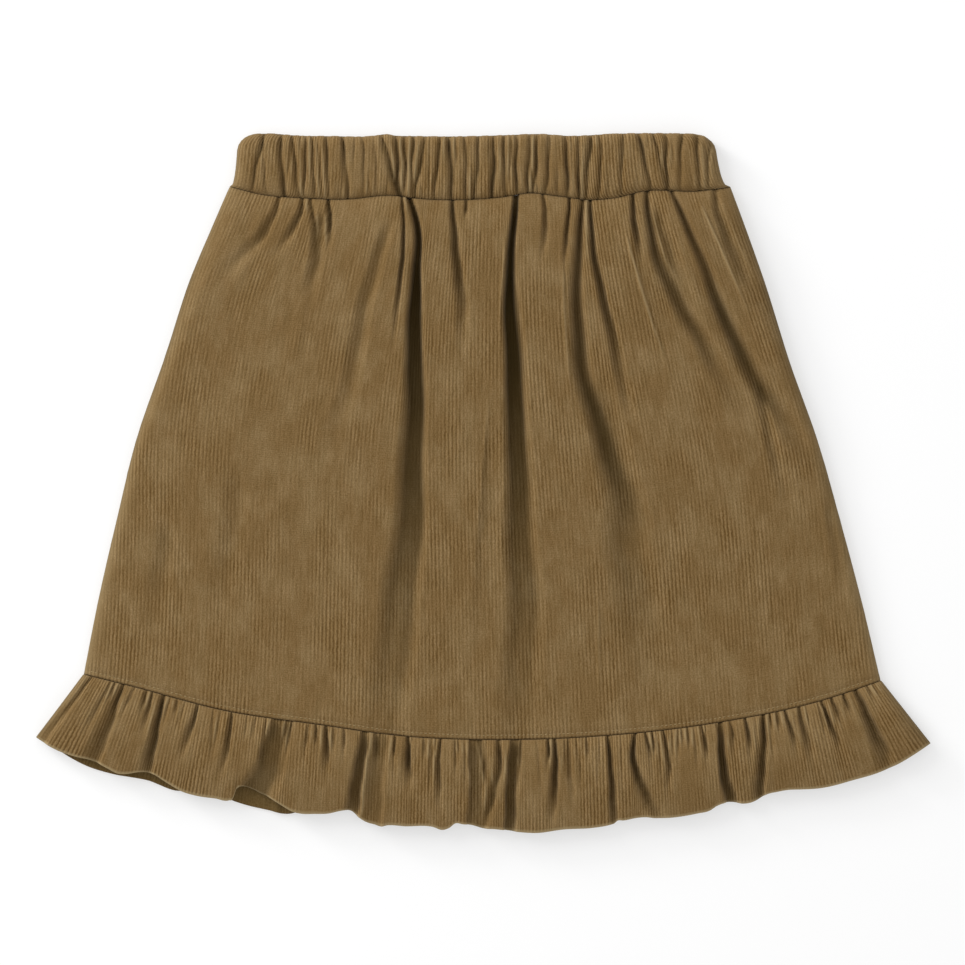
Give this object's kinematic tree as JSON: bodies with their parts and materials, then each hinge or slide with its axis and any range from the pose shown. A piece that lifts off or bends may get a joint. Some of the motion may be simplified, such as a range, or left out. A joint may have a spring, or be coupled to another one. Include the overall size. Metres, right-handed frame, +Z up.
{
  "type": "gathered skirt",
  "caption": "Child's A-line needlecord skirt with a gathered elastic waistband and a gathered ruffle along the hem, laid flat with its front up.",
  "frame": {"origin": "middle of the laid-out skirt's outline, on the surface it lies on", "axes": "+X across the skirt to the right of the picture, +Y from the hem to the waistband, +Z up from the surface"},
  "size_m": [0.3789, 0.2961, 0.01],
  "materials": {
    "needlecord": "olive-brown cotton needlecord, brushed cut pile in fine lengthwise wales"
  },
  "bodies": {
    "root": {"waistband_front": "needlecord", "waistband_back": "needlecord", "front_panel": "needlecord", "back_panel": "needlecord", "ruffle_front": "needlecord", "ruffle_back": "needlecord"}
  },
  "joints": []
}
